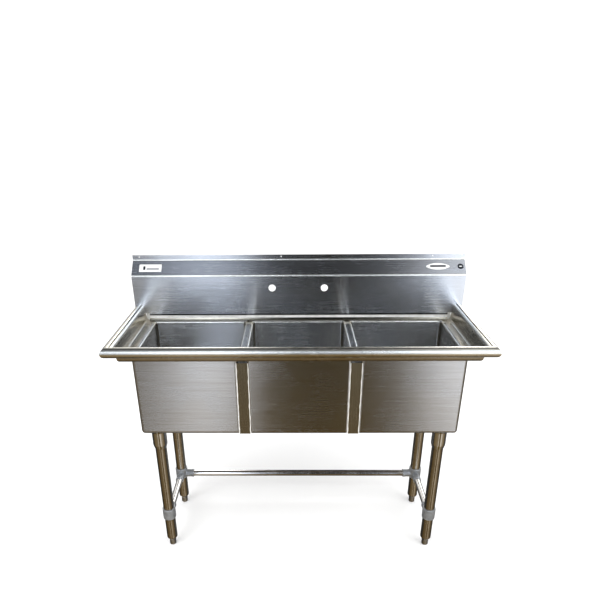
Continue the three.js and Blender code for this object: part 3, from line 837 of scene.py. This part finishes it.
def grub_screw(node, outward):
    """A socket set screw along Y: chamfered body, cup point and hexagon socket."""
    low, high = box_mm(node)
    at = centre_of(node)
    radius = (high.x - low.x) / 2
    end = (high.y - low.y) / 2
    tip = -end
    key = 2.3
    steps = 48
    body = [(0, tip + 1.2), (1.8, tip + 0.2), (2.4, tip), (radius, tip + 1.4), (radius, end - 0.7),
            (radius - 0.6, end)]
    rings = [(r, along, False) for r, along in body]
    rings += [(key, end, True), (key, end - 4, True), (0, end - 4.6, False)]
    points, rows = [], []
    for r, along, hexed in rings:
        y = at.y + outward * along
        if r == 0:
            rows.append([len(points)] * steps)
            points.append((at.x, y, at.z))
            continue
        rows.append(list(range(len(points), len(points) + steps)))
        for i in range(steps):
            a = 2 * math.pi * i / steps
            reach = hexagon_reach(r, a) if hexed else r
            points.append((at.x + reach * math.cos(a), y, at.z + reach * math.sin(a)))
    return stand_for(make_object(node + "_detail", points, skin_rows(rows, steps), ZINC), node)


def leg_tube(node):
    low, high = box_mm(node)
    wall, swage_radius = 1.5, 4
    outer = (high.x - low.x) / 2
    centre = (outer - swage_radius, low.z + swage_radius)
    swage = arc(*centre, swage_radius, 0, -72, 8)
    swage += arc(*centre, swage_radius - wall, -72, 0, 6)
    profile = [(outer, high.z)] + swage + [(outer - wall, high.z)]
    # The tube's brown tint is painted reflection
    return stand_for(turned_piece(node, profile, TUBE_PAINTED_REFLECTION, 96), node)


# ==== Rails and clamps ====

def rail(node):
    low, high = box_mm(node)
    wall = 1.2
    axis = "X" if high.x - low.x > high.y - low.y else "Y"
    radius = (high.z - low.z) / 2
    half = max(high.x - low.x, high.y - low.y) / 2
    profile = [(radius, -half), (radius, half), (radius - wall, half), (radius - wall, -half)]
    centre = tuple(centre_of(node))
    return stand_for(turned(node + "_detail", profile, RAIL_ALONG[axis], 64, axis, centre), node)


def rail_clamp(node, leg, rail_z, arms):
    """Sand-cast clamp: ring and arms blended by a remesh, then bored for the leg, the rails and the screw."""
    low, high = box_mm(node)
    x, y = centre_of(leg).xy
    ring_radius, arm, bead, reach = 25.0, 16.0, 17.0, 55.0
    rail_bore, bore_start = 13.05, 28.0
    ring = rounded([(0, low.z), (ring_radius, low.z), (ring_radius, high.z), (0, high.z)], 1.6, 4)
    piece = turned(node + "_detail", ring, None, 72, centre=(x, y, 0))
    outside = rounded([(0, 0), (arm, 0), (arm, reach - 12), (bead, reach - 8), (bead, reach), (0, reach)],
                      2.0, 4)
    joints, bores = [], [rod(LEG_BORE, low.z - 9, high.z + 9, "Z", (x, y, 0), 72)]
    for dx, dy in arms:
        axis, sign = ("X", dx) if dx else ("Y", dy)
        joints.append(turned("tool", [(r, sign * d) for r, d in outside], None, 48, axis, (x, y, rail_z)))
        ends = sorted((sign * bore_start, sign * (reach + 6)))
        bores.append(rod(rail_bore, *ends, axis, (x, y, rail_z), 48))
    screw = centre_of(node.replace("rail_clamp", "clamp_screw"))
    bores.append(rod(GRUB_HOLE, -10, 10, "Y", tuple(screw), 24))
    combine(piece, "UNION", joints)
    remesh = piece.modifiers.new("cast", "REMESH")
    remesh.mode = "VOXEL"
    remesh.voxel_size = 1.3 * MM
    relax = piece.modifiers.new("relax", "SMOOTH")
    relax.iterations = 10
    relax.factor = 0.5
    bake(piece)
    combine(piece, "DIFFERENCE", bores)
    piece.data.materials.clear()
    piece.data.materials.append(CAST)
    return stand_for(piece, node)


# ==== Adjustable feet ====

def leg_insert(node):
    low, high = box_mm(node)
    outer = (high.x - low.x) / 2
    bore = 8.25
    middle = (low.z + high.z) / 2
    profile = rounded([(outer, middle), (outer, high.z), (bore, high.z), (bore, low.z), (outer, low.z),
                       (outer, middle - 0.1)], 1.0, 2)
    return stand_for(turned_piece(node, profile, ZINC), node)


def foot_stud(node):
    """A threaded rod: one helical thread of 2.309 mm pitch, tapered out at both ends."""
    low, high = box_mm(node)
    x, y = centre_of(node).xy
    major, minor, pitch = 7.9, 6.75, 2.309
    around, per_turn, runout = 32, 6, 2.0
    rows = int((high.z - low.z) / pitch * per_turn)
    sections = []
    for i in range(rows + 1):
        base = low.z + (high.z - low.z) * i / rows
        fade = min(1.0, (base - low.z) / runout, (high.z - base) / runout)
        ring = []
        for j in range(around):
            a = 2 * math.pi * j / around
            phase = ((base - low.z) / pitch - j / around) % 1.0
            tooth = min(max(1.35 * (1 - abs(2 * phase - 1)) - 0.1, 0), 1)
            radius = minor - 0.5 * (1 - fade) + (major - minor) * tooth * fade
            ring.append((x + radius * math.cos(a), y + radius * math.sin(a), base))
        sections.append(ring)
    return stand_for(swept(node + "_detail", sections, ZINC, 60), node)


def bullet_foot(node):
    """A short round foot under a hexagon with turned-down corners, bored for its stud."""
    low, high = box_mm(node)
    x, y = centre_of(node).xy
    hex_z = high.z - 11
    radius, widest_flats, bore, bore_z = 12.7, 14.0 * math.cos(math.pi / 6), 8.2, 7.7
    body = [(0, 0), (9.6, 0), (10.8, 0.3), (11.8, 1.0), (12.5, 2.0), (radius, 3.2), (radius, hex_z + 2),
            (0, hex_z + 2)]
    piece = turned_piece(node, body, FOOT)
    flats = min((high.y - low.y) / 2, widest_flats)
    corner = flats / math.cos(math.pi / 6)
    crown = rod(corner, hex_z, high.z, "Z", (x, y, 0), 6)
    turning = rounded([(0, hex_z - 1), (flats + 0.4, hex_z - 1), (corner + 0.2, hex_z + 1),
                       (corner + 0.2, high.z - 1.6), (flats + 0.3, high.z), (0, high.z)], 0.4, 2)
    combine(crown, "INTERSECT", [turned("tool", turning, None, 64, centre=(x, y, 0))])
    combine(piece, "UNION", [crown])
    combine(piece, "DIFFERENCE", [rod(bore, bore_z, high.z + 5, "Z", (x, y, 0), 48)], 25)
    return stand_for(piece, node)


# ==== Drains ====

def strainer_body(node):
    low, high = box_mm(node)
    seat = BOWL_FLOOR - DRAIN_SINK
    flange = (high.x - low.x) / 2
    outlet, middle = 18.5, (low.z + 515) / 2
    profile = [(outlet, middle), (outlet, low.z), (21, low.z), (21, 512), (43.5, 524), (43.5, seat + 0.3),
               (flange, seat + 0.3), (flange, seat + 1.6), (flange - 2, seat + 2.6), (46, seat + 2.9),
               (41.5, seat + 1.2), (41, seat - 4), (41, 526.5), (38, 523.5), (outlet, 515),
               (outlet, middle + 0.1)]
    return stand_for(turned_piece(node, rounded(profile, 1.2, 3), SOCKET, 96), node)


def drain_gasket(node):
    low, high = box_mm(node)
    outer = (high.x - low.x) / 2
    bore, middle = 44, (low.z + high.z) / 2
    profile = rounded([(bore, middle), (bore, low.z), (outer, low.z), (outer, high.z), (bore, high.z),
                       (bore, middle + 0.1)], 0.6, 3)
    return stand_for(turned_piece(node, profile, RUBBER, 96), node)


def locknut(node):
    """A flat ring nut with eight lugs for the spanner."""
    low, high = box_mm(node)
    x, y = centre_of(node).xy
    bore, lug_height, lugs, steps, ease = 44.0, 4, 8, 128, 0.8
    ring = (high.x - low.x) / 2 - lug_height
    outline = []
    for i in range(steps):
        turn = (i / steps * lugs) % 1.0
        rise = min(max((abs(turn - 0.5) - 0.24) / 0.06, 0), 1)
        outline.append((ring + lug_height * rise, 2 * math.pi * i / steps))
    rows = []
    for inset, z in ((ease, low.z), (0, low.z + ease), (0, high.z - ease), (ease, high.z)):
        rows.append([(x + (r - inset) * math.cos(a), y + (r - inset) * math.sin(a), z) for r, a in outline])
    for r, z in ((bore + ease, high.z), (bore, high.z - ease), (bore, low.z + ease), (bore + ease, low.z)):
        rows.append([(x + r * math.cos(a), y + r * math.sin(a), z) for _, a in outline])
    rows.append(rows[0])
    points = [p for row in rows for p in row]
    piece = make_object(node + "_detail", points, tube_faces(len(rows), steps), ZINC, 40)
    return stand_for(piece, node)


def basket(node):
    """A pressed cup with rings of holes in its floor and its sloping side, and a knob to lift it by."""
    floor = box_mm(node)[0].z
    x, y = centre_of(node).xy
    cup = [(0, 0), (23, 0), (33.5, 11.5), (38.8, 14), (40.2, 21.5), (39.2, 22), (37.8, 15), (32.6, 12.8),
           (22.6, 1.2), (4, 1.2), (3, 8), (3, 18), (7.4, 22.5), (8, 26), (6.4, 29), (0, 30)]
    piece = turned_piece(node, rounded([(r, floor + rise) for r, rise in cup], 1.6, 4), SOCKET, 72)
    tools = []
    for count, distance, radius, bottom, top, turn in (
            (6, 9.5, 2.3, -4, 4, 0), (12, 17.0, 2.3, -4, 4, 0), (16, 28, 2.6, 2, 14, 0.5)):
        for i in range(count):
            a = 2 * math.pi * (i + turn) / count
            place = (x + distance * math.cos(a), y + distance * math.sin(a), 0)
            tools.append(rod(radius, floor + bottom, floor + top, "Z", place, 16))
    combine(piece, "DIFFERENCE", joined(tools), 25)
    return stand_for(piece, node)


# ==== Blank labels on the sloped band ====

BAND_WIDTH = 68.6
BAR_LIFT = 0.22


def label(name, outline, material, base_lift=0.0):
    """A thin plate on the sloped band or on another plate; its outline is in (x, distance up the slope)."""
    slope = Vector((0, WALL_Y - SHEET - SPLASH_Y, TOP_Z - FLANGE - CREASE_Z)).normalized()
    outward = Vector((0, -slope.z, slope.y))
    base = Vector((0, SPLASH_Y, CREASE_Z))
    cx = sum(u for u, _ in outline) / len(outline)
    cv = sum(v for _, v in outline) / len(outline)
    rows = []
    for lift, inset in ((0.02, 0.0), (0.15, 0.0), (0.2, 0.35)):
        ring = []
        for u, v in outline:
            away = Vector((u - cx, v - cv))
            if away.length > 0:
                away = away * (1 - inset / away.length)
            at = base + slope * (cv + away.y) + outward * (lift + base_lift)
            ring.append((cx + away.x, at.y, at.z))
        rows.append(ring)
    on_the_sink(swept(name, rows, material))


def oval(x, y, half_w, half_h):
    """An oval drawn in a little towards its two ends."""
    outline = []
    steps = 48
    for i in range(steps):
        a = 2 * math.pi * i / steps
        pinch = 1 - 0.35 * abs(math.cos(a)) ** 3
        outline.append((x + half_w * math.cos(a), y + half_h * math.sin(a) * pinch))
    return outline


def labels():
    """Blank stand-ins: a plate and an oval with plain bars, and a round badge. None carries lettering."""
    middle = BAND_WIDTH * 0.53
    oval_x, badge_x = 540, 627
    label("blank_label_left", rounded_box(-574.5, 34.0, 43.5, 16.5, 2, 4), LABEL_WHITE)
    label("blank_label_left_bar", rounded_box(-565, 30.5, 24, 3.2, 1.2, 4), LABEL_GREY, BAR_LIFT)
    label("blank_label_left_mark", rounded_box(-598, 34.5, 4.0, 7.5, 1.2, 4), LABEL_DARK, BAR_LIFT)
    label("blank_label_right", oval(oval_x, middle, 48, 16.5), LABEL_GREY)
    label("blank_label_right_field", oval(oval_x, middle, 46, 14.6), LABEL_WHITE, BAR_LIFT)
    oval_bar = rounded_box(oval_x, BAND_WIDTH * 0.55, 30, 3.4, 1.2, 4)
    label("blank_label_right_bar", oval_bar, LABEL_DARK, BAR_LIFT * 2)
    label("blank_badge", arc(badge_x, middle, 11.5, 0, 352.5, 47), LABEL_DARK)
    label("blank_badge_centre", rounded_box(badge_x, middle, 5.5, 2.2, 1.0, 4), LABEL_WHITE, BAR_LIFT)


# ==== Build ====

front_rim()
side_rim("left_rim", -1)
side_rim("right_rim", 1)
backsplash()
for place in ("left", "centre", "right"):
    bowl(f"bowl_{place}")
    strainer_body(f"strainer_body_{place}")
    drain_gasket(f"drain_gasket_{place}")
    locknut(f"locknut_{place}")
    basket(f"basket_{place}")
rail_height = centre_of("rear_rail").z
for side, sign in (("left", -1), ("right", 1)):
    divider_strip(f"divider_strip_{side}")
    front_filler(f"front_filler_{side}")
    seam_beads(side)
    rail(f"side_rail_{side}")
    for end, inward in (("front", 1), ("rear", -1)):
        leg = f"{end}_{side}"
        leg_socket(f"leg_socket_{leg}")
        grub_screw(f"socket_screw_{leg}", inward)
        leg_tube(f"leg_tube_{leg}")
        arms = [(0, 1)] if end == "front" else [(0, -1), (-sign, 0)]
        rail_clamp(f"rail_clamp_{leg}", f"leg_tube_{leg}", rail_height, arms)
        grub_screw(f"clamp_screw_{leg}", 1)
        leg_insert(f"leg_insert_{leg}")
        foot_stud(f"foot_stud_{leg}")
        bullet_foot(f"bullet_foot_{leg}")
rail("rear_rail")
labels()


# ==== Studio ====

def studio():
    """A pale floor, and two large soft lamps that the steel doesn't mirror."""
    far = 60000
    corners = [(-far, -far, 0), (far, -far, 0), (far, far, 0), (-far, far, 0)]
    material, tree, shader, _ = new_material("pale_floor")
    feed(tree, shader, Base_Color=(0.95, 0.95, 0.95, 1), Roughness=0.9, Specular_IOR_Level=0.0)
    floor = make_object("floor", corners, [(0, 1, 2, 3)], material)
    if floor.data.polygons[0].normal.z < 0:
        floor.data.flip_normals()
    floor.visible_glossy = False
    aim = Vector((0, 0, 0.5))
    for name, place, power in (("key", (-2.2, -2.4, 4.2), 60), ("fill", (2.6, -1.6, 3.6), 45)):
        light = bpy.data.lights.new(name, "AREA")
        light.size = 3.0
        light.energy = power
        lamp = bpy.data.objects.new(name, light)
        lamp.location = place
        lamp.rotation_euler = (aim - Vector(place)).to_track_quat("-Z", "Y").to_euler()
        lamp.visible_glossy = False
        lamp.visible_camera = False
        bpy.context.scene.collection.objects.link(lamp)


# What the steel mirrors: two tall soft boxes, a left and a right one, in a dim room. Each box is its
# brightness across times its brightness from top to bottom; the room only changes from top to bottom.
PLAIN = (1.0, 1.0, 1.0)
COOL = (0.92, 1.0, 1.14)
WARM = (1.05, 1.0, 0.75)
BROWN = (1.5, 1.0, 0.3)


def across_stops(*rows):
    """Ramp stops from (sideways part of the direction, value)."""
    return [((x + 1) / 2, (value,) * 3) for x, value in rows]


def fall_stops(*rows):
    """Ramp stops from (degrees from straight up towards the front, value, tint if not plain)."""
    return [((turn + 180) / 360, tuple(value * c for c in (tint[0] if tint else PLAIN)))
            for turn, value, *tint in rows]


BOX_LEFT = across_stops(
    (-1.0, 0.2), (-0.6, 0.2), (-0.4, 0.25), (-0.31, 0.2), (-0.26, 0.32), (-0.22, 0.65), (-0.18, 0.97),
    (-0.12, 0.93), (-0.085, 0.45), (-0.06, 0.06), (-0.04, 0.0))
BOX_RIGHT = across_stops(
    (0.08, 0.0), (0.14, 0.03), (0.18, 0.08), (0.21, 0.2), (0.25, 0.65), (0.30, 1.0), (0.42, 0.95), (0.5, 0.6),
    (0.62, 0.4), (0.88, 0.4), (1.0, 0.2))
FALL_LEFT = fall_stops(
    (-180, 0.08), (-90, 0.3), (-76, 2.2), (-56, 2.2), (-40, 0.5), (-15, 0.12, COOL), (8, 0.22, COOL),
    (24, 0.28, COOL), (40, 0.7, COOL), (54, 2.2, COOL), (72, 2.2, COOL), (84, 1.45, COOL), (95, 1.35, COOL),
    (106, 0.65), (118, 0.34), (140, 0.25), (155, 0.15), (180, 0.06))
FALL_RIGHT = fall_stops(
    (-180, 0.08), (-90, 0.3), (-76, 2.0), (-56, 2.0), (-40, 0.45), (-15, 0.12, COOL), (8, 0.4), (24, 0.55),
    (40, 0.7, COOL), (54, 2.0, COOL), (72, 2.0, COOL), (84, 1.3, COOL), (95, 1.25, COOL), (106, 0.8),
    (118, 0.42), (140, 0.25), (155, 0.12), (180, 0.06))
ROOM_FALL = fall_stops(
    (-180, 0.02), (-95, 0.02), (-75, 0.05), (-45, 0.05), (-25, 0.02), (0, 0.03), (20, 0.08), (45, 0.0),
    (98, 0.0), (110, 0.055, WARM), (125, 0.085, BROWN), (180, 0.06, BROWN))
MIRRORED_STRENGTH = 1.4
WHITE = (1, 1, 1, 1)


def background(tree, colour, strength):
    node = tree.nodes.new("ShaderNodeBackground")
    feed(tree, node, Color=colour, Strength=strength)
    return node.outputs[0]


def shader_mix(tree, factor, a, b):
    node = tree.nodes.new("ShaderNodeMixShader")
    for socket, value in zip(node.inputs, (factor, a, b)):
        plug(tree, value, socket)
    return node.outputs[0]


def world():
    """Steel mirrors the room and its soft boxes; everything else is lit by plain white."""
    sky = bpy.data.worlds.new("studio")
    bpy.context.scene.world = sky
    sky.use_nodes = True
    sky.cycles.sampling_method = "NONE"
    tree = sky.node_tree
    tree.nodes.clear()
    split = tree.nodes.new("ShaderNodeSeparateXYZ")
    feed(tree, split, Vector=tree.nodes.new("ShaderNodeTexCoord").outputs["Generated"])
    across = map_range(tree, split.outputs["X"], -1, 1, 0, 1)
    front = math_node(tree, "MULTIPLY", split.outputs["Y"], -1.0)
    turn = math_node(tree, "ARCTAN2", front, split.outputs["Z"])
    fall = map_range(tree, turn, -math.pi, math.pi, 0, 1)
    left = colour_mix(tree, "MULTIPLY", 1, ramp(tree, across, BOX_LEFT), ramp(tree, fall, FALL_LEFT))
    right = colour_mix(tree, "MULTIPLY", 1, ramp(tree, across, BOX_RIGHT), ramp(tree, fall, FALL_RIGHT))
    room = colour_mix(tree, "ADD", 1, colour_mix(tree, "ADD", 1, left, right), ramp(tree, fall, ROOM_FALL))
    white = background(tree, WHITE, 1.0)
    paths = tree.nodes.new("ShaderNodeLightPath")
    lit = shader_mix(tree, paths.outputs["Is Glossy Ray"], white, background(tree, room, MIRRORED_STRENGTH))
    shown = shader_mix(tree, paths.outputs["Is Camera Ray"], lit, white)
    feed(tree, tree.nodes.new("ShaderNodeOutputWorld"), Surface=shown)


def camera():
    """Stands to the front and above, turned a little to its left and leaning by half a degree."""
    scene = bpy.context.scene
    lens = bpy.data.cameras.new("camera")
    lens.lens = 31.541
    lens.sensor_width = 36
    lens.shift_x = 0.02225
    lens.shift_y = 0.09856
    view = bpy.data.objects.new("camera", lens)
    pitch, yaw, roll = 0.43884, -0.013176, -0.00807
    forward = Vector((math.sin(yaw) * math.cos(pitch), math.cos(yaw) * math.cos(pitch), -math.sin(pitch)))
    level = forward.cross(Vector((0, 0, 1))).normalized()
    upright = level.cross(forward)
    right = level * math.cos(roll) + upright * math.sin(roll)
    up = upright * math.cos(roll) - level * math.sin(roll)
    turn = Matrix((right, up, -forward)).transposed().to_4x4()
    view.matrix_world = Matrix.Translation((-0.02126, -1.77696, 1.60768)) @ turn
    scene.collection.objects.link(view)
    scene.camera = view
    scene.view_settings.view_transform = "Standard"
    scene.view_settings.look = "None"
    scene.view_settings.exposure = 0.2
    scene.view_settings.gamma = 0.78


studio()
world()
camera()
